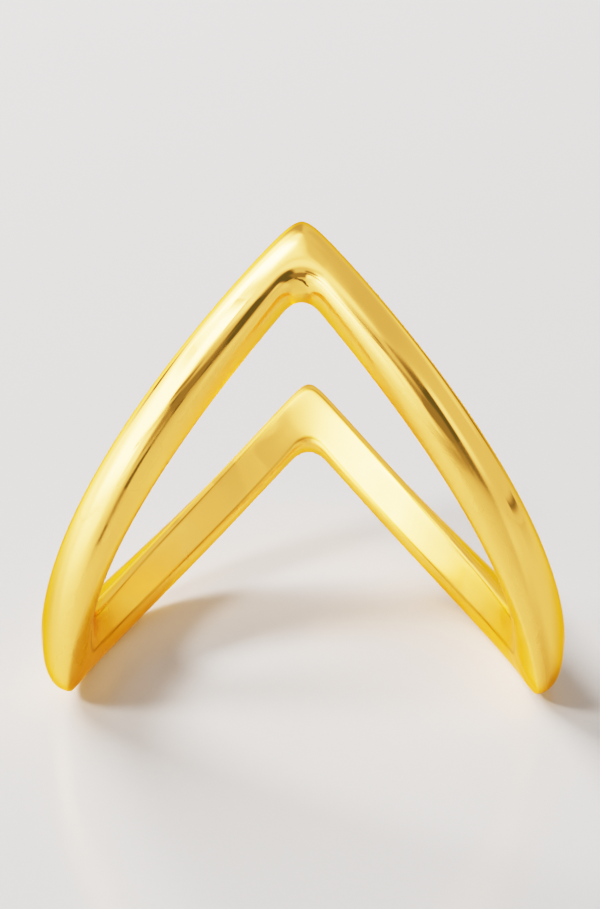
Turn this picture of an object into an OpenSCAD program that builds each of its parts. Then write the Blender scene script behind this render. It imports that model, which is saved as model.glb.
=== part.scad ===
// Chevron ring: one plain gold band that zigzags round the finger.
// Four legs climb from two side points to a front point and a back point.
// Units are millimetres. The ring is modelled leaning back, as it rests on a
// table: its side points and its back legs touch z = 0, and +Y is the back.

/* [Finger hole] */
// Inside diameter of the finger hole
hole_d = 17.3; // [14:0.1:22]

/* [Band] */
// Thickness of the metal between the finger hole and the outside
band_t = 2; // [1.2:0.05:2.6]
// Width of a leg, measured square across it
band_w = 2.08; // [1.4:0.02:3]
// Form of the section's outside at the front and back: 2 is an ellipse, 4 is nearly flat
outer_form = 2.7; // [1.8:0.05:4]
// Form of the section's outside at the side points
outer_form_side = 1.9; // [1.8:0.05:4]
// Form of the section's inside at the front and back
inner_form = 3.3; // [1.8:0.05:4]
// Form of the section's inside at the side points
inner_form_side = 2; // [1.8:0.05:4]
// Part of the thickness that lies inside the widest line of the section
widest_at = 0.33; // [0.25:0.01:0.65]
// Depth of the section's inner bulge that the finger hole takes off
hole_cut = 0.1; // [0.05:0.01:0.3]
// Lift of the section's inside over its outside at the side points
inner_lift = 1; // [0:0.05:1.5]
// How far the top of the outside stands out over its bottom at the side points
flare = 0.9; // [0:0.05:1.5]

/* [Zigzag] */
// Climb of the band's middle from a side point to the front or back point
rise = 14.6; // [8:0.1:18]
// Run of a leg: 0 is straight on the unrolled band, 1 is straight from the front
leg_run = 0.41; // [0:0.01:1]

/* [Corners] */
// Softness of the upper edge at the front and back points
peak_soft = 0.5; // [0.3:0.05:2.5]
// Softness of the lower edge at the front and back points
crotch_soft = 0.45; // [0.3:0.05:2.5]
// Softness of the upper edge over the side points
notch_soft = 1.9; // [0.5:0.05:3]
// Softness of the lower edge at the side points
foot_soft = 0.6; // [0.3:0.05:3]

/* [Rest] */
// Lean back from upright at which the ring rests by itself
lean = 42; // [0:0.1:60]

/* [Facets] */
// Sections in each quarter of the band
quarter_steps = 36; // [12:1:36]
// Points round each section
section_steps = 24; // [12:2:28]

/* [Hidden] */
gold = [0.92, 0.72, 0.24];
hole_r = hole_d / 2;
outer_r = hole_r + band_t;
section_t = band_t + hole_cut;
quarter_arc = outer_r * PI / 2;
crowding = 0.65;
least = 0.0001;
sections = 4 * quarter_steps;

// Sections stand closer together near the four points of the zigzag
function spread(u) = crowding * (0.5 - 0.5 * cos(180 * u)) + (1 - crowding) * u;

// Place between a peak (0) and a side point (1), rounded off at both ends
function eased(s, peak, side) =
    let (from_peak = sqrt(s * s + pow(peak / quarter_arc, 2)),
         eased_s = 1 - sqrt(pow(1 - from_peak, 2) + pow(side / quarter_arc, 2)))
    max(least, min(1, eased_s));

// Share of the rise that a leg has come down at that place, and its slope there
function drop(e) = (1 - leg_run) * e + leg_run * sin(90 * e);
function slope(e) = rise / quarter_arc * (1 - leg_run + leg_run * PI / 2 * cos(90 * e));

// Height of an edge of the band: side is 1 for the upper edge, -1 for the lower
function edge(e, side) = rise * (1 - drop(e)) + side * band_w / 2 * sqrt(1 + pow(slope(e), 2));

// Place round the band, in quarters from the front point
function quarters(i) = let (q = i / quarter_steps, whole = floor(q)) whole + spread(q - whole);
function from_peak(q) = let (back = q % 2) back > 1 ? 2 - back : back;

// A sine or cosine bent towards the corners of a square by form
function bent(x, form) = sign(x) * pow(abs(x), 2 / form);

// A value that runs evenly from the front or back point to a side point
function towards_side(s, start, end) = start + (end - start) * s;

// One point of a section: a runs round it, from its top and over its outside
function section_point(q, upper, lower, a) =
    let (out = sin(a), s = from_peak(q),
         form = out < 0 ? towards_side(s, inner_form, inner_form_side)
                        : towards_side(s, outer_form, outer_form_side),
         reach = out < 0 ? widest_at : 1 - widest_at,
         depth = bent(out, form),
         climb = bent(cos(a), form),
         stand_out = towards_side(s, 0, flare / 2) * climb * max(0, depth),
         r = outer_r + section_t * (reach * depth + widest_at - 1) + stand_out,
         lift = towards_side(s, 0, inner_lift) * max(0, -depth),
         z = (upper + lower) / 2 + (upper - lower) / 2 * climb + lift,
         around = 90 * (q - 1))
    [r * cos(around), r * sin(around), z];

skin = [
    for (i = [0:sections - 1])
        let (q = quarters(i), s = from_peak(q),
             upper = edge(eased(s, peak_soft, notch_soft), 1),
             lower = edge(eased(s, crotch_soft, foot_soft), -1))
        for (j = [0:section_steps - 1]) section_point(q, upper, lower, 360 * j / section_steps)
];

function corner(i, j) = (i % sections) * section_steps + j % section_steps;

// Two triangles for each patch, split the other way on legs that climb
skin_faces = [
    for (i = [0:sections - 1], j = [0:section_steps - 1])
        let (a = corner(i, j), b = corner(i, j + 1), c = corner(i + 1, j + 1), d = corner(i + 1, j),
             climbs = floor(i / quarter_steps) % 2 == 1)
        each climbs ? [[a, d, b], [b, d, c]] : [[a, c, b], [a, d, c]]
];

// The skin's points as they lie once the ring leans back
leaned_y = [for (p = skin) p[1] * cos(lean) + p[2] * sin(lean)];
leaned_z = [for (p = skin) p[2] * cos(lean) - p[1] * sin(lean)];
middle_y = (min(leaned_y) + max(leaned_y)) / 2;
lowest_z = min(leaned_z);
hole_l = 4 * (rise + band_w);

module finger_hole() {
    translate([0, 0, rise / 2]) cylinder(h = hole_l, r = hole_r, center = true, $fn = 180);
}

module band() {
    color(gold)
    translate([0, -middle_y, -lowest_z])
    rotate([-lean, 0, 0])
    difference() {
        polyhedron(points = skin, faces = skin_faces, convexity = 8);
        finger_hole();
    }
}

band();
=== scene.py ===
"""Chevron ring: a plain gold band that zigzags round the finger, on a pale table in soft light.

Lengths are metres. The ring lies as it rests by itself, leaning back, with +Y to its back.
"""
import math

import bpy
from bpy.props import FloatProperty, FloatVectorProperty, IntProperty, PointerProperty
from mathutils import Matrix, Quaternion, Vector


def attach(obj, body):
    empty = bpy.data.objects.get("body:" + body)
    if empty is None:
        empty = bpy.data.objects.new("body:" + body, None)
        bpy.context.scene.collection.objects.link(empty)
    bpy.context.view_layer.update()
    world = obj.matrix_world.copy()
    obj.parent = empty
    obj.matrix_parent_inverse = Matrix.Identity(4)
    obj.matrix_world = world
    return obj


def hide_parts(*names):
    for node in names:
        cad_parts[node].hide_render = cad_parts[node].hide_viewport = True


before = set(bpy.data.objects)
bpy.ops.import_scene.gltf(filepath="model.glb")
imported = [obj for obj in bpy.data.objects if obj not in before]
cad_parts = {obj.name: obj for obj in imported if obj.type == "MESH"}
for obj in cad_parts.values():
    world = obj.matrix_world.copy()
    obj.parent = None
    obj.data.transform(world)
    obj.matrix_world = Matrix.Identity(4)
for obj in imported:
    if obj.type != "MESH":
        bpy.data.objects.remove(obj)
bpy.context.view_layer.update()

bl_info = {
    "name": "Chevron ring",
    "version": (1, 0, 0),
    "blender": (4, 5, 0),
    "location": "View3D > Sidebar > Ring",
    "description": "Makes a polished chevron ring from its finger size and the run of its zigzag",
    "category": "Add Mesh",
}

MM = 0.001
QUARTER_TURN = math.pi / 2
DEGREES = 180 / math.pi

# The band's skin: its quarters from point to point, how strongly its sections crowd towards the
# points, the least place along a leg, and the gap across which the grid's edges are merged
QUARTERS = 4
CROWDING = 0.65
LEAST_PLACE = 0.0001
SEAM_GAP = 0.001 * MM

# Sockets of the band's tree, by the type of size that they set
SIZE_SOCKETS = {"FLOAT": "NodeSocketFloat", "INT": "NodeSocketInt"}

# Marks that the skin carries for its finish and its painted shade. The inside's mark makes the
# hole's wall and the underside rougher, and the crease mark sets where shade is painted in a dark
# line along the hole's two creases.
# The inside's mark starts at the section's widest line in the upper half, and this share of the way
# out in the lower half. It gains strength inwards at this rate
INSIDE_MARK = "inside"
PAINTED_CREASE_SHADE_MARK = "crease"
UNDERSIDE_DEPTH = 0.75
INSIDE_MARK_RATE = 3

# Noises: scale in waves to the metre and detail, and for the table and the flag also the share that
# they have in the brightness
SCRATCH_NOISE = (9000, 1)
WORN_PATCH_NOISE = (500, 0)
SMEAR_NOISE = (260, 3)
WAVE_NOISE = (420, 1)
TABLE_GRAIN = ((2600, 3, 0.03), (35, 2, 0.05))
FLAG_MOTTLE = (900, 2, 0.04)

# Polish marks: turns of the scratches in degrees, how far they are drawn out, the levels of noise
# between which scratches and worn patches fade, and the depth of a scratch against a wave
SCRATCH_TURNS = ((0, 20, 35), (40, -25, -60), (-30, 60, 100))
SCRATCH_STRETCH = (12, 1, 1)
SCRATCH_FADE = (0.34, 0.27)
WORN_PATCH_FADE = (0.42, 0.58)
SCRATCH_DEPTH = 0.02

# Table, flag and camera
TABLE_HALF = 1.5
TABLE_BRIGHTNESS = 0.96
TABLE_ROUGHNESS = 0.2
TABLE_SPECULAR = 0.3
FLAG_LIFT = 0.1 * MM
FLAG_COLOUR = (0.02, 0.07, 0.08)
FLAG_ROUGHNESS = 0.9
CAMERA_TARGET = Vector((-0.235, 0, 7.622)) * MM
CAMERA_NEAREST = 1 * MM
FRAME_HEIGHT = 24

# Sockets that set a card of the studio, in the order of its values
CARD_SOCKETS = ("Card Azimuth", "Card Elevation", "Half Width", "Half Height", "Softness")

# Soft cards of the studio, each painted over those before it: name, azimuth (0 is behind the ring,
# 90 its right), elevation, half width, half height and softness in degrees, and brightness
STUDIO_CARDS = (
    ("left side glow", -98, 12, 56, 50, 18, 2.4),
    ("overhead left", -122, 82, 48, 12, 10, 3.2),
    ("left upper wall", -80, 50, 24, 15, 12, 5.0),
    ("left middle wall", -88, 20, 9, 22, 8, 3.6),
    ("back left wall", -34, 10, 14, 13, 6, 2.5),
    ("right wall", 95, 56, 62, 16, 10, 0.7),
    ("right light", 139, 22, 9, 12, 6, 1.9),
    ("back right light", 66, 25, 20, 5, 5, 1.5),
    ("dark gap back", -18, 58, 22, 24, 10, 0.5),
    ("dark gap right", 46, 9, 13, 6, 5, 0.2),
    ("thin dark bar", 94, 4.5, 13, 1.5, 1.5, 0.15),
    ("key softbox", -128, 28, 26, 23, 10, 8.0),
    ("key softbox side", -99, 51, 10, 14, 7, 9.5),
    ("key softbox corner", -120, 62, 22, 8, 6, 14.0),
    ("key softbox top", -148, 66, 16, 5, 4, 17.0),
    ("key dimmer middle", -112, 42, 17, 4, 4, 3.8),
    ("key bright middle", -145, 46, 14, 5, 4, 10.0),
    ("dark gap top", -151, 56.5, 24, 4, 3, 1.4),
    ("dark gap top front", -170, 62, 10, 5, 4, 2.4),
    ("dark gap left", -68, 23, 10, 5, 4, 0.15),
    ("front middle", -178, 46, 14, 9, 6, 2.2),
    ("dark gap front right", 158, 10, 13, 26, 4, 0.12),
    ("dark gap front", 177, 8, 16, 10, 4, 0.25),
    ("front left light", -157, 6, 9, 9, 5, 2.7),
    ("dark gap front left", -164, 23, 9, 3.5, 3, 0.25),
    ("thin dark line front", -156, 15, 17, 1.8, 1.5, 0.12),
)

# Lights that shape the shadows on the table: name, azimuth and elevation in degrees, distance,
# width and height in metres, and power in watts
TABLE_LIGHTS = (
    ("overhead light", 0, 90, 1.0, 1.6, 1.6, 3.8),
    ("low back light", -39, 26, 0.8, 0.46, 0.11, 9.8),
    ("side light", -104, 36, 0.5, 0.16, 0.08, 1.3),
)

# Corners of the dark flag in millimetres: its left edge from the ring outwards, then its right edge
FLAG_CORNERS = ((-14, -26), (-12, -36), (-14, -60), (-9, -95), (22, -220), (210, -1400),
                (-10, -25), (-7, -34), (-1, -58), (11, -95), (70, -220), (330, -1400))


class RingBandSizes(bpy.types.PropertyGroup):
    """Sizes of the band and its zigzag"""

    outer_radius: FloatProperty(
        name="Outer Radius", description="From the finger hole's axis to the outside of the band",
        default=10.65 * MM, min=0.005, unit="LENGTH")
    thickness: FloatProperty(
        name="Thickness", description="Metal between the finger hole and the outside",
        default=2.0 * MM, min=0.0005, unit="LENGTH")
    width: FloatProperty(
        name="Width", description="Width of a leg, measured square across it",
        default=2.08 * MM, min=0.0005, unit="LENGTH")
    outer_form: FloatProperty(
        name="Outer Form",
        description="Section's outside at the front: 2 is an ellipse, 4 nearly flat",
        default=2.7, min=1.5, max=6)
    outer_form_side: FloatProperty(
        name="Outer Form At Side", description="Form of the section's outside at the side points",
        default=1.9, min=1.5, max=6)
    inner_form: FloatProperty(
        name="Inner Form",
        description="Section's inside at the front: 2 is an ellipse, 4 nearly flat",
        default=3.3, min=1.5, max=6)
    inner_form_side: FloatProperty(
        name="Inner Form At Side", description="Form of the section's inside at the side points",
        default=2.0, min=1.5, max=6)
    widest_at: FloatProperty(
        name="Widest At", description="Part of the thickness inside the section's widest line",
        default=0.33, min=0.2, max=0.8, subtype="FACTOR")
    widest_at_side: FloatProperty(
        name="Widest At Side",
        description="Part of the thickness inside that line at the side points",
        default=0.5, min=0.2, max=0.8, subtype="FACTOR")
    hole_cut: FloatProperty(
        name="Hole Cut", description="Depth of the inner bulge that the finger hole takes off",
        default=0.1 * MM, min=0, unit="LENGTH")
    inner_lift: FloatProperty(
        name="Inner Lift", description="Lift of the section's inside over its outside at the sides",
        default=1.0 * MM, unit="LENGTH")
    flare: FloatProperty(
        name="Flare",
        description="How far the outside's top stands out over its bottom at the sides",
        default=0.9 * MM, unit="LENGTH")
    wall_bulge: FloatProperty(
        name="Wall Bulge", description="Part of the inner bulge that polishing leaves in the hole",
        default=0.3, min=0, max=1, subtype="FACTOR")
    wall_softness: FloatProperty(
        name="Wall Softness", description="Softness of the two edges of the hole's wall",
        default=0.012 * MM, min=0, unit="LENGTH")
    # Painted shade: how far the dark line painted along the hole's creases fades to either side
    crease_width: FloatProperty(
        name="Crease Width",
        description="Depth over which the mark of the hole's two creases fades to either side",
        default=0.03 * MM, min=1e-6, unit="LENGTH")
    rise: FloatProperty(
        name="Rise", description="Climb of the band's middle from a side point to the front point",
        default=14.6 * MM, min=0.001, unit="LENGTH")
    leg_run: FloatProperty(
        name="Leg Run",
        description="0 is straight on the unrolled band, 1 is straight from the front",
        default=0.41, min=0, max=1, subtype="FACTOR")
    peak_softness: FloatProperty(
        name="Peak Softness", description="Softness of the upper edge at the front and back points",
        default=0.5 * MM, min=0.0001, unit="LENGTH")
    crotch_softness: FloatProperty(
        name="Crotch Softness",
        description="Softness of the lower edge at the front and back points",
        default=0.45 * MM, min=0.0001, unit="LENGTH")
    notch_softness: FloatProperty(
        name="Notch Softness", description="Softness of the upper edge over the side points",
        default=1.9 * MM, min=0.0001, unit="LENGTH")
    foot_softness: FloatProperty(
        name="Foot Softness", description="Softness of the lower edge at the side points",
        default=0.6 * MM, min=0.0001, unit="LENGTH")
    lean: FloatProperty(
        name="Lean", description="Lean back from upright at which the ring rests by itself",
        default=math.radians(42), subtype="ANGLE")
    quarter_steps: IntProperty(
        name="Quarter Steps", description="Sections of the skin in each quarter of the band",
        default=112, min=8)
    section_steps: IntProperty(
        name="Section Steps", description="Points of the skin round each section",
        default=80, min=12)


class RingFinish(bpy.types.PropertyGroup):
    """Colour and polish of the gold"""

    gold_colour: FloatVectorProperty(
        name="Gold", description="Colour that the polished gold gives its reflections",
        default=(1.0, 0.46, 0.12), subtype="COLOR", size=3, min=0, max=1)
    edge_colour: FloatVectorProperty(
        name="Edge", description="Colour of reflections that only graze the gold",
        default=(0.82, 0.56, 0.26), subtype="COLOR", size=3, min=0, max=1)
    # Painted reflection: the gold takes this paler colour in its own reflections and in the light
    # that it bounces onto the table
    painted_reflection_colour: FloatVectorProperty(
        name="Echo", description="Colour of the gold where it is seen in a reflection",
        default=(1.0, 0.70, 0.38), subtype="COLOR", size=3, min=0, max=1)
    # Painted shade: the dark colour painted in a line along the creases at the edges of the hole's
    # wall
    crease_shade_colour: FloatVectorProperty(
        name="Crease", description="Colour of the creases along the edges of the hole's wall",
        default=(0.34, 0.16, 0.02), subtype="COLOR", size=3, min=0, max=1)
    roughness: FloatProperty(
        name="Roughness", description="Roughness of the polish where it is best",
        default=0.045, min=0, max=1, subtype="FACTOR")
    wall_roughness: FloatProperty(
        name="Wall Roughness", description="Roughness that the hole's wall and the underside add",
        default=0.21, min=0, max=1, subtype="FACTOR")
    smears: FloatProperty(
        name="Smears", description="Roughness that faint smears add",
        default=0.04, min=0, max=1, subtype="FACTOR")
    hairlines: FloatProperty(
        name="Hairlines", description="Roughness that patches of hairline scratches add",
        default=0.10, min=0, max=1, subtype="FACTOR")
    waviness: FloatProperty(
        name="Waviness", description="Height of the slight waves that hand polishing leaves",
        default=0.004 * MM, min=0, unit="LENGTH")


class RingStage(bpy.types.PropertyGroup):
    """Camera, light and table"""

    room_level: FloatProperty(
        name="Room Level", description="Brightness of the room between the cards",
        default=0.9, min=0)
    card_level: FloatProperty(
        name="Card Level", description="Brightness of the room and all its cards",
        default=1.12, min=0)
    card_colour: FloatVectorProperty(
        name="Cards", description="Tint of the light from the room and its cards",
        default=(1.0, 0.87, 0.86), subtype="COLOR", size=3, min=0, max=1)
    fill_colour: FloatVectorProperty(
        name="Fill", description="Faint cool light from all sides, which shows in dark reflections",
        default=(0.0, 0.09, 0.11), subtype="COLOR", size=3, min=0, max=1)
    light_colour: FloatVectorProperty(
        name="Light", description="Tint of the lights over the table",
        default=(1.0, 0.985, 0.97), subtype="COLOR", size=3, min=0, max=1)
    table_colour: FloatVectorProperty(
        name="Table", description="Colour of the pale table",
        default=(0.79, 0.77, 0.76), subtype="COLOR", size=3, min=0, max=1)
    table_glow: FloatProperty(
        name="Table Glow", description="Light that the table adds where the gold reflects it",
        default=0.35, min=0)
    camera_distance: FloatProperty(
        name="Camera Distance", description="From the camera to the point that it looks at",
        default=101.9 * MM, min=0.01, unit="LENGTH")
    camera_height_angle: FloatProperty(
        name="Camera Elevation", description="Angle at which the camera looks down",
        default=math.radians(23.88), subtype="ANGLE")
    camera_side_angle: FloatProperty(
        name="Camera Azimuth", description="Turn of the camera round the ring, to its left",
        default=math.radians(1.27), subtype="ANGLE")
    camera_roll: FloatProperty(
        name="Camera Roll", description="Turn of the camera about the line that it looks along",
        default=math.radians(0.32), subtype="ANGLE")
    camera_lens: FloatProperty(
        name="Lens", description="Focal length for a frame 24 mm high",
        default=62.66, min=10)


class Field:
    """A value in a node tree, on which sums are written as on a number."""

    def __init__(self, tree, socket):
        self.tree = tree
        self.socket = socket

    def __add__(self, other):
        return maths("ADD", self, other)

    def __radd__(self, other):
        return maths("ADD", other, self)

    def __sub__(self, other):
        return maths("SUBTRACT", self, other)

    def __rsub__(self, other):
        return maths("SUBTRACT", other, self)

    def __mul__(self, other):
        return maths("MULTIPLY", self, other)

    def __rmul__(self, other):
        return maths("MULTIPLY", other, self)

    def __truediv__(self, other):
        return maths("DIVIDE", self, other)

    def __rtruediv__(self, other):
        return maths("DIVIDE", other, self)


def maths(operation, *values):
    """Adds a Math node to the values' tree and returns its result."""
    tree = next(value.tree for value in values if isinstance(value, Field))
    node = tree.nodes.new("ShaderNodeMath")
    node.operation = operation
    for socket, value in zip(node.inputs, values):
        if isinstance(value, Field):
            tree.links.new(value.socket, socket)
        else:
            socket.default_value = value
    return Field(tree, node.outputs[0])


def root(value):
    """The square root of a value."""
    return maths("SQRT", value)


def squared(value):
    """A value times itself."""
    return value * value


def bent(value, form):
    """A sine or cosine bent towards the corners of a square."""
    return maths("SIGN", value) * maths("POWER", maths("ABSOLUTE", value), 2 / form)


def pick(choice, if_true, if_false):
    """if_true where choice is 1, and if_false where it is 0."""
    return choice * if_true + (1 - choice) * if_false


def filleted(value, softness):
    """The value, with a parabola in place of the corner that its mirror image makes at 0."""
    reach = softness * 2
    near = maths("LESS_THAN", value, reach)
    return pick(near, (squared(value) / reach + reach) / 2, value)


def direction(azimuth, elevation):
    """Unit vector for a turn from the back to the right and a climb, in radians."""
    level = math.cos(elevation)
    return Vector((math.sin(azimuth) * level, math.cos(azimuth) * level, math.sin(elevation)))


def add_sockets(tree, in_out, socket_type, names):
    """Gives a tree named inputs or outputs of one type."""
    for name in names:
        tree.interface.new_socket(name=name, in_out=in_out, socket_type=socket_type)


def size_properties():
    """The band's sizes, in the order of the tree's inputs."""
    return [prop for prop in RingBandSizes.bl_rna.properties if prop.type in SIZE_SOCKETS]


def band_tree():
    """Geometry nodes that wrap a flat grid into the zigzag band."""
    tree = bpy.data.node_groups.new("Zigzag band", "GeometryNodeTree")
    for prop in size_properties():
        add_sockets(tree, "INPUT", SIZE_SOCKETS[prop.type], [prop.name])
    add_sockets(tree, "INPUT", "NodeSocketMaterial", ["Finish"])
    add_sockets(tree, "OUTPUT", "NodeSocketGeometry", ["Mesh"])
    entry = tree.nodes.new("NodeGroupInput")
    sizes = {prop.identifier: Field(tree, entry.outputs[prop.name]) for prop in size_properties()}
    grid = band_grid(tree, sizes)
    place, marks = band_place(tree, sizes)
    for name, value in marks.items():
        mark = tree.nodes.new("GeometryNodeStoreNamedAttribute")
        mark.inputs["Name"].default_value = name
        tree.links.new(grid, mark.inputs["Geometry"])
        tree.links.new(value.socket, mark.inputs["Value"])
        grid = mark.outputs[0]
    wrap = tree.nodes.new("GeometryNodeSetPosition")
    tree.links.new(grid, wrap.inputs["Geometry"])
    tree.links.new(place, wrap.inputs["Position"])
    close = tree.nodes.new("GeometryNodeMergeByDistance")
    close.inputs["Distance"].default_value = SEAM_GAP
    tree.links.new(wrap.outputs[0], close.inputs["Geometry"])
    settled = settle_on_table(tree, close.outputs[0])
    smooth = tree.nodes.new("GeometryNodeSetShadeSmooth")
    tree.links.new(settled, smooth.inputs["Geometry"])
    realize = tree.nodes.new("GeometryNodeRealizeInstances")
    tree.links.new(smooth.outputs[0], realize.inputs[0])
    finish = tree.nodes.new("GeometryNodeSetMaterial")
    tree.links.new(realize.outputs[0], finish.inputs["Geometry"])
    tree.links.new(entry.outputs["Finish"], finish.inputs["Material"])
    leave = tree.nodes.new("NodeGroupOutput")
    tree.links.new(finish.outputs[0], leave.inputs[0])
    return tree


def band_grid(tree, sizes):
    """A flat grid: X counts quarters of the band, and Y goes once round its section."""
    grid = tree.nodes.new("GeometryNodeMeshGrid")
    grid.inputs["Size X"].default_value = QUARTERS
    grid.inputs["Size Y"].default_value = 1
    tree.links.new((sizes["quarter_steps"] * QUARTERS + 1).socket, grid.inputs["Vertices X"])
    tree.links.new((sizes["section_steps"] + 1).socket, grid.inputs["Vertices Y"])
    return grid.outputs["Mesh"]


def band_place(tree, sizes):
    """Where each point of the grid goes by the rule of the zigzag, and its marks for the finish and
    for the shade painted along the hole's creases.
    """
    position = tree.nodes.new("GeometryNodeInputPosition")
    split = tree.nodes.new("ShaderNodeSeparateXYZ")
    tree.links.new(position.outputs[0], split.inputs[0])
    to_back = QUARTERS / 2
    along = Field(tree, split.outputs["X"]) + to_back
    round_section = (Field(tree, split.outputs["Y"]) + 0.5) * math.tau

    whole = maths("FLOOR", along)
    part = along - whole
    crowded = CROWDING * (0.5 - 0.5 * maths("COSINE", part * math.pi))
    quarters = whole + (crowded + (1 - CROWDING) * part)
    from_peak = 1 - maths("ABSOLUTE", maths("MODULO", quarters, to_back) - 1)

    quarter_arc = sizes["outer_radius"] * QUARTER_TURN

    def bounded(place):
        return maths("MAXIMUM", LEAST_PLACE, maths("MINIMUM", 1, place))

    def eased_above(peak, side):
        from_point = root(squared(from_peak) + squared(peak / quarter_arc))
        return bounded(1 - root(squared(1 - from_point) + squared(side / quarter_arc)))

    def eased_below(crotch, foot):
        from_point = filleted(from_peak, crotch / quarter_arc)
        return bounded(1 - filleted(1 - from_point, foot / quarter_arc))

    def edge(place, side):
        run = sizes["leg_run"]
        turn = place * QUARTER_TURN
        drop = (1 - run) * place + run * maths("SINE", turn)
        steepness = 1 - run + run * QUARTER_TURN * maths("COSINE", turn)
        slope = sizes["rise"] / quarter_arc * steepness
        reach = sizes["width"] * (side / 2) * root(1 + squared(slope))
        return sizes["rise"] * (1 - drop) + reach

    def towards_side(name, share):
        return sizes[name] + (sizes[name + "_side"] - sizes[name]) * share

    upper = edge(eased_above(sizes["peak_softness"], sizes["notch_softness"]), 1)
    lower = edge(eased_below(sizes["crotch_softness"], sizes["foot_softness"]), -1)

    out = maths("SINE", round_section)
    inside = maths("LESS_THAN", out, 0)
    inner_form = towards_side("inner_form", from_peak)
    outer_form = towards_side("outer_form", from_peak)
    form = pick(inside, inner_form, outer_form)
    at_foot = squared(squared(from_peak))
    widest_at = towards_side("widest_at", at_foot)
    reach = pick(inside, widest_at, 1 - widest_at)
    thick = sizes["thickness"] + sizes["hole_cut"]
    depth = bent(out, form)
    climb = bent(maths("COSINE", round_section), form)
    below = maths("LESS_THAN", climb, 0)
    flare = sizes["flare"] / 2 * from_peak * (1 - below * at_foot)
    stand_out = flare * climb * maths("MAXIMUM", 0, depth)
    radius = sizes["outer_radius"] + thick * (reach * depth + widest_at - 1) + stand_out
    in_hole = sizes["outer_radius"] - sizes["thickness"] - radius
    taken_off = (in_hole + root(squared(in_hole) + squared(sizes["wall_softness"] * 2))) / 2
    radius = radius + (1 - sizes["wall_bulge"]) * taken_off
    lift = sizes["inner_lift"] * from_peak * maths("MAXIMUM", 0, 0 - depth)
    height = (upper + lower) / 2 + (upper - lower) / 2 * climb + lift

    around = (quarters - 1) * QUARTER_TURN
    x = radius * maths("COSINE", around)
    y = radius * maths("SINE", around)
    lean_sine = maths("SINE", sizes["lean"])
    lean_cosine = maths("COSINE", sizes["lean"])
    join = tree.nodes.new("ShaderNodeCombineXYZ")
    tree.links.new(x.socket, join.inputs["X"])
    tree.links.new((y * lean_cosine + height * lean_sine).socket, join.inputs["Y"])
    tree.links.new((height * lean_cosine - y * lean_sine).socket, join.inputs["Z"])

    within = INSIDE_MARK_RATE * maths("MAXIMUM", 0, UNDERSIDE_DEPTH * below - depth)
    # Painted shade: strength of the dark line painted along the hole's two creases, fading away
    # from them
    off_crease = maths("ABSOLUTE", in_hole) / sizes["crease_width"]
    marks = {INSIDE_MARK: maths("MINIMUM", 1, within),
             PAINTED_CREASE_SHADE_MARK: maths("MAXIMUM", 0, 1 - off_crease)}
    return join.outputs[0], marks


def settle_on_table(tree, mesh):
    """Sets the mesh down at height 0, with its box centred from front to back."""
    box = tree.nodes.new("GeometryNodeBoundBox")
    tree.links.new(mesh, box.inputs["Geometry"])
    low = tree.nodes.new("ShaderNodeSeparateXYZ")
    high = tree.nodes.new("ShaderNodeSeparateXYZ")
    tree.links.new(box.outputs["Min"], low.inputs[0])
    tree.links.new(box.outputs["Max"], high.inputs[0])
    middle = (Field(tree, low.outputs["Y"]) + Field(tree, high.outputs["Y"])) / 2
    shift = tree.nodes.new("ShaderNodeCombineXYZ")
    tree.links.new((0 - middle).socket, shift.inputs["Y"])
    tree.links.new((0 - Field(tree, low.outputs["Z"])).socket, shift.inputs["Z"])
    move = tree.nodes.new("GeometryNodeSetPosition")
    tree.links.new(mesh, move.inputs["Geometry"])
    tree.links.new(shift.outputs[0], move.inputs["Offset"])
    return move.outputs[0]


def stepped(value, start, end):
    """1 at start and before it, 0 at end and past it, and smooth between them."""
    node = value.tree.nodes.new("ShaderNodeMapRange")
    node.interpolation_type = "SMOOTHSTEP"
    for name, number in (("From Min", start), ("From Max", end), ("To Min", 1), ("To Max", 0)):
        socket = node.inputs[name]
        if isinstance(number, Field):
            value.tree.links.new(number.socket, socket)
        else:
            socket.default_value = number
    value.tree.links.new(value.socket, node.inputs["Value"])
    return Field(value.tree, node.outputs["Result"])


def card_group():
    """Mask of one soft card in the studio, by the direction in which it is seen."""
    tree = bpy.data.node_groups.new("Soft card", "ShaderNodeTree")
    names = ("Azimuth", "Elevation", *CARD_SOCKETS)
    add_sockets(tree, "INPUT", "NodeSocketFloat", names)
    add_sockets(tree, "OUTPUT", "NodeSocketFloat", ["Mask"])
    entry = tree.nodes.new("NodeGroupInput")
    azimuth, elevation, card_azimuth, card_elevation, half_width, half_height, softness = (
        Field(tree, entry.outputs[name]) for name in names)
    aside = maths("ABSOLUTE", maths("WRAP", azimuth - card_azimuth, 180, -180))
    above = maths("ABSOLUTE", elevation - card_elevation)
    across = stepped(aside, half_width - softness, half_width + softness)
    upright = stepped(above, half_height - softness, half_height + softness)
    leave = tree.nodes.new("NodeGroupOutput")
    tree.links.new((across * upright).socket, leave.inputs[0])
    return tree


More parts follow.
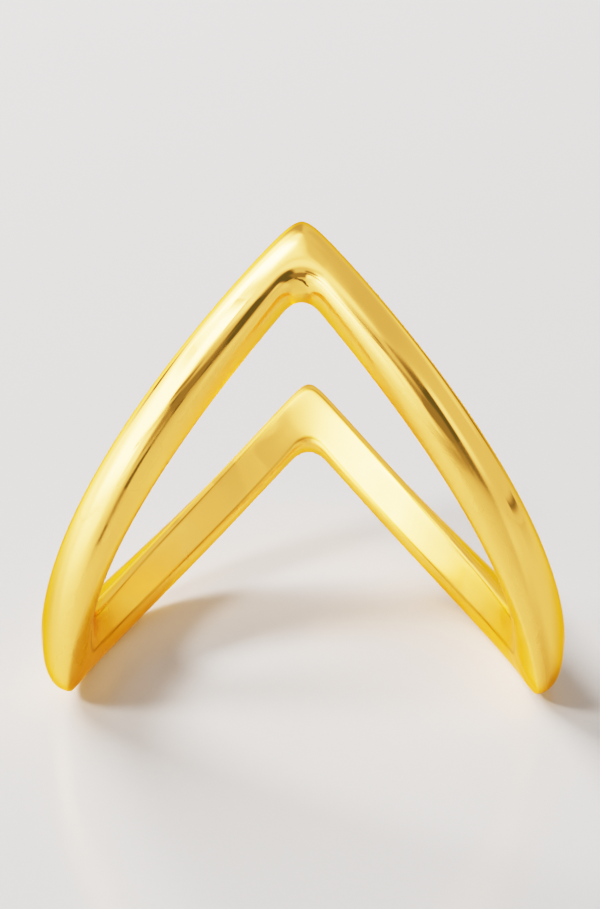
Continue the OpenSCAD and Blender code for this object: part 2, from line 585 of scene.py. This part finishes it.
def studio_world(stage):
    """The studio that the gold reflects: a pale room with soft cards, painted one over another."""
    world = bpy.data.worlds.new("Studio")
    world.use_nodes = True
    tree = world.node_tree
    coordinate = tree.nodes.new("ShaderNodeTexCoord")
    split = tree.nodes.new("ShaderNodeSeparateXYZ")
    tree.links.new(coordinate.outputs["Generated"], split.inputs[0])
    x, y, z = (Field(tree, split.outputs[axis]) for axis in "XYZ")
    azimuth = maths("ARCTAN2", x, y) * DEGREES
    elevation = maths("ARCSINE", z) * DEGREES
    group = card_group()
    level = stage.room_level
    for name, *values, brightness in STUDIO_CARDS:
        card = tree.nodes.new("ShaderNodeGroup")
        card.node_tree = group
        card.label = name
        tree.links.new(azimuth.socket, card.inputs["Azimuth"])
        tree.links.new(elevation.socket, card.inputs["Elevation"])
        for socket, value in zip(CARD_SOCKETS, values):
            card.inputs[socket].default_value = value
        mask = Field(tree, card.outputs[0])
        level = level + mask * (brightness - level)
    tinted = [level * (share * stage.card_level) + fill
              for share, fill in zip(stage.card_colour, stage.fill_colour)]
    tree.links.new(colour_of(tree, tinted), tree.nodes["Background"].inputs["Color"])
    return world


def colour_of(tree, channels):
    """One colour from its red, green and blue."""
    node = tree.nodes.new("ShaderNodeCombineColor")
    for channel, socket in zip(channels, node.inputs):
        tree.links.new(channel.socket, socket)
    return node.outputs[0]


def noise(tree, place, scale, detail):
    """Soft noise from about 0 to 1 at a place."""
    node = tree.nodes.new("ShaderNodeTexNoise")
    node.inputs["Scale"].default_value = scale
    node.inputs["Detail"].default_value = detail
    tree.links.new(place, node.inputs["Vector"])
    return Field(tree, node.outputs[0])


def turned(tree, place, angles, stretch):
    """The place turned by angles in degrees and stretched, for marks that run one way."""
    node = tree.nodes.new("ShaderNodeMapping")
    node.vector_type = "TEXTURE"
    node.inputs["Rotation"].default_value = [math.radians(angle) for angle in angles]
    node.inputs["Scale"].default_value = stretch
    tree.links.new(place, node.inputs["Vector"])
    return node.outputs[0]


def polish_group():
    """Marks of polishing and wear: scratched patches, faint smears and a slight waviness."""
    tree = bpy.data.node_groups.new("Polish marks", "ShaderNodeTree")
    qualities = ("Best Roughness", "Hairlines", "Smears")
    add_sockets(tree, "INPUT", "NodeSocketVector", ["Place"])
    add_sockets(tree, "INPUT", "NodeSocketFloat", qualities)
    add_sockets(tree, "OUTPUT", "NodeSocketFloat", ("Roughness", "Height"))
    entry = tree.nodes.new("NodeGroupInput")
    place = entry.outputs["Place"]
    worn = stepped(noise(tree, place, *WORN_PATCH_NOISE), *WORN_PATCH_FADE)
    scratched = 0
    for angles in SCRATCH_TURNS:
        streaks = noise(tree, turned(tree, place, angles, SCRATCH_STRETCH), *SCRATCH_NOISE)
        scratched = scratched + stepped(streaks, *SCRATCH_FADE) * worn
    scratched = maths("MINIMUM", 1, scratched)
    smeared = noise(tree, place, *SMEAR_NOISE)
    waves = noise(tree, place, *WAVE_NOISE)
    best, hairlines, smears = (Field(tree, entry.outputs[name]) for name in qualities)
    roughness = best + smeared * smears + scratched * hairlines
    leave = tree.nodes.new("NodeGroupOutput")
    tree.links.new(roughness.socket, leave.inputs["Roughness"])
    tree.links.new((waves - scratched * SCRATCH_DEPTH).socket, leave.inputs["Height"])
    return tree


def marked(tree, name):
    """A value that the geometry nodes have left on the surface."""
    node = tree.nodes.new("ShaderNodeAttribute")
    node.attribute_name = name
    return Field(tree, node.outputs["Fac"])


def light_path(tree, name):
    """1 for the rays that the name says, and 0 for all others."""
    return Field(tree, tree.nodes.new("ShaderNodeLightPath").outputs[name])


def new_material(name):
    """A material, with its node tree, its shader and the place on its object."""
    material = bpy.data.materials.new(name)
    material.use_nodes = True
    tree = material.node_tree
    place = tree.nodes.new("ShaderNodeTexCoord").outputs["Object"]
    return material, tree, tree.nodes["Principled BSDF"], place


def gold_material(finish):
    """Mirror-polished yellow gold, with shade painted in a dark line along the creases of the
    hole's wall, and a paler painted reflection colour for rays other than the camera's.
    """
    material, tree, shader, place = new_material("Polished gold")
    # Painted reflection: rays other than the camera's see the paler echo colour in place of the
    # gold
    colour = tree.nodes.new("ShaderNodeMix")
    colour.data_type = "RGBA"
    colour.inputs["A"].default_value = (*finish.painted_reflection_colour, 1)
    colour.inputs["B"].default_value = (*finish.gold_colour, 1)
    tree.links.new(light_path(tree, "Is Camera Ray").socket, colour.inputs["Factor"])
    # Painted shade: a dark line painted into the colour along the creases of the hole's wall
    painted_crease_shade = tree.nodes.new("ShaderNodeMix")
    painted_crease_shade.data_type = "RGBA"
    painted_crease_shade.inputs["B"].default_value = (*finish.crease_shade_colour, 1)
    tree.links.new(colour.outputs["Result"], painted_crease_shade.inputs["A"])
    tree.links.new(marked(tree, PAINTED_CREASE_SHADE_MARK).socket, painted_crease_shade.inputs["Factor"])
    tree.links.new(painted_crease_shade.outputs["Result"], shader.inputs["Base Color"])
    shader.inputs["Metallic"].default_value = 1
    shader.inputs["Specular Tint"].default_value = (*finish.edge_colour, 1)
    marks = tree.nodes.new("ShaderNodeGroup")
    marks.node_tree = polish_group()
    tree.links.new(place, marks.inputs["Place"])
    for name, value in (("Best Roughness", finish.roughness), ("Hairlines", finish.hairlines),
                        ("Smears", finish.smears)):
        marks.inputs[name].default_value = value
    satin = marked(tree, INSIDE_MARK) * finish.wall_roughness
    roughness = Field(tree, marks.outputs["Roughness"]) + satin
    tree.links.new(roughness.socket, shader.inputs["Roughness"])
    ripple = tree.nodes.new("ShaderNodeBump")
    ripple.inputs["Strength"].default_value = 1
    ripple.inputs["Distance"].default_value = finish.waviness
    tree.links.new(marks.outputs["Height"], ripple.inputs["Height"])
    tree.links.new(ripple.outputs[0], shader.inputs["Normal"])
    return material


def table_material(stage):
    """Pale, faintly glossy table top with a fine grain."""
    material, tree, shader, place = new_material("Pale table")
    grains = [noise(tree, place, scale, detail) * share for scale, detail, share in TABLE_GRAIN]
    grain = sum(grains) + TABLE_BRIGHTNESS
    tint = colour_of(tree, [grain * share for share in stage.table_colour])
    tree.links.new(tint, shader.inputs["Base Color"])
    shader.inputs["Roughness"].default_value = TABLE_ROUGHNESS
    shader.inputs["Specular IOR Level"].default_value = TABLE_SPECULAR
    # Painted light: the table glows only in the gold's reflections, which lightens the shade of the
    # table that the gold reflects
    shader.inputs["Emission Color"].default_value = (*stage.table_colour, 1)
    glow = light_path(tree, "Is Glossy Ray") * stage.table_glow
    tree.links.new(glow.socket, shader.inputs["Emission Strength"])
    return material


def flag_material():
    """Dark cloth, faintly mottled."""
    material, tree, shader, place = new_material("Dark flag")
    scale, detail, share = FLAG_MOTTLE
    mottle = noise(tree, place, scale, detail) * share
    tint = colour_of(tree, [mottle + channel for channel in FLAG_COLOUR])
    tree.links.new(tint, shader.inputs["Base Color"])
    shader.inputs["Roughness"].default_value = FLAG_ROUGHNESS
    return material


class RING_OT_make_band(bpy.types.Operator):
    """Make the gold band from its sizes"""

    bl_idname = "chevron_ring.make_band"
    bl_label = "Make Band"

    def execute(self, context):
        sizes = context.scene.ring_band
        mould = bpy.data.objects.new("band_mould", bpy.data.meshes.new("band_mould"))
        context.collection.objects.link(mould)
        modifier = mould.modifiers.new("Zigzag", "NODES")
        tree = band_tree()
        modifier.node_group = tree
        values = {prop.name: getattr(sizes, prop.identifier) for prop in size_properties()}
        values["Finish"] = gold_material(context.scene.ring_finish)
        for item in tree.interface.items_tree:
            if item.in_out == "INPUT":
                modifier[item.identifier] = values[item.name]
        context.view_layer.update()
        evaluated = mould.evaluated_get(context.evaluated_depsgraph_get())
        mesh = bpy.data.meshes.new_from_object(evaluated)
        mould.modifiers.clear()
        band = bpy.data.objects.new("polished_band", mesh)
        context.collection.objects.link(band)
        bpy.data.objects.remove(mould)
        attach(band, "root")
        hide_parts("band")
        return {"FINISHED"}


class RING_OT_make_stage(bpy.types.Operator):
    """Set up the table, the soft light and the camera"""

    bl_idname = "chevron_ring.make_stage"
    bl_label = "Make Stage"

    def execute(self, context):
        stage = context.scene.ring_stage
        self.lay_table(context, stage)
        self.lay_flag(context)
        self.light(context, stage)
        self.place_camera(context, stage)
        return {"FINISHED"}

    def lay_table(self, context, stage):
        """A flat pale table under the ring."""
        half = TABLE_HALF
        mesh = bpy.data.meshes.new("table")
        corners = [(-half, -half, 0), (half, -half, 0), (half, half, 0), (-half, half, 0)]
        mesh.from_pydata(corners, [], [(0, 1, 2, 3)])
        mesh.materials.append(table_material(stage))
        table = bpy.data.objects.new("table", mesh)
        context.collection.objects.link(table)

    def lay_flag(self, context):
        """A dark strip on the table, from the front of the ring, which only reflections show."""
        corners = [(x * MM, y * MM, FLAG_LIFT) for x, y in FLAG_CORNERS]
        half = len(corners) // 2
        faces = [(i, i + 1, i + 1 + half, i + half) for i in range(half - 1)]
        mesh = bpy.data.meshes.new("dark_flag")
        mesh.from_pydata(corners, [], faces)
        mesh.materials.append(flag_material())
        flag = bpy.data.objects.new("dark_flag", mesh)
        context.collection.objects.link(flag)
        flag.visible_camera = flag.visible_diffuse = flag.visible_shadow = False

    def light(self, context, stage):
        """The studio for reflections only, and soft lights for the table only."""
        context.scene.world = studio_world(stage)
        context.scene.world.cycles_visibility.diffuse = False
        for name, azimuth, elevation, distance, width, height, power in TABLE_LIGHTS:
            lamp = bpy.data.lights.new(name, "AREA")
            lamp.shape = "RECTANGLE"
            lamp.size = width
            lamp.size_y = height
            lamp.energy = power
            lamp.color = stage.light_colour
            light = bpy.data.objects.new(name, lamp)
            towards = direction(math.radians(azimuth), math.radians(elevation))
            light.location = towards * distance
            light.rotation_euler = towards.to_track_quat("Z", "Y").to_euler()
            light.visible_glossy = False
            context.collection.objects.link(light)

    def place_camera(self, context, stage):
        """The camera of the photograph, and how the picture is developed."""
        lens = bpy.data.cameras.new("camera")
        lens.sensor_fit = "VERTICAL"
        lens.sensor_height = FRAME_HEIGHT
        lens.lens = stage.camera_lens
        lens.clip_start = CAMERA_NEAREST
        camera = bpy.data.objects.new("camera", lens)
        forward = direction(-stage.camera_side_angle, -stage.camera_height_angle)
        camera.location = CAMERA_TARGET - forward * stage.camera_distance
        roll = Quaternion(forward, stage.camera_roll)
        camera.rotation_euler = (roll @ forward.to_track_quat("-Z", "Y")).to_euler()
        context.collection.objects.link(camera)
        context.scene.camera = camera
        context.scene.view_settings.view_transform = "Filmic"
        context.scene.view_settings.look = "Very High Contrast"


class RING_PT_sidebar(bpy.types.Panel):
    """Sizes and steps of the chevron ring"""

    bl_idname = "RING_PT_sidebar"
    bl_label = "Chevron Ring"
    bl_space_type = "VIEW_3D"
    bl_region_type = "UI"
    bl_category = "Ring"

    def draw(self, context):
        for group in (context.scene.ring_band, context.scene.ring_finish, context.scene.ring_stage):
            box = self.layout.box()
            for prop in group.bl_rna.properties:
                if prop.identifier not in {"rna_type", "name"}:
                    box.prop(group, prop.identifier)
        self.layout.operator(RING_OT_make_band.bl_idname)
        self.layout.operator(RING_OT_make_stage.bl_idname)


CLASSES = (RingBandSizes, RingFinish, RingStage, RING_OT_make_band, RING_OT_make_stage,
           RING_PT_sidebar)


def register():
    for cls in CLASSES:
        bpy.utils.register_class(cls)
    bpy.types.Scene.ring_band = PointerProperty(type=RingBandSizes)
    bpy.types.Scene.ring_finish = PointerProperty(type=RingFinish)
    bpy.types.Scene.ring_stage = PointerProperty(type=RingStage)


def unregister():
    del bpy.types.Scene.ring_band, bpy.types.Scene.ring_finish, bpy.types.Scene.ring_stage
    for cls in reversed(CLASSES):
        bpy.utils.unregister_class(cls)


def main():
    register()
    bpy.ops.chevron_ring.make_band()
    bpy.ops.chevron_ring.make_stage()


if __name__ == "__main__":
    main()
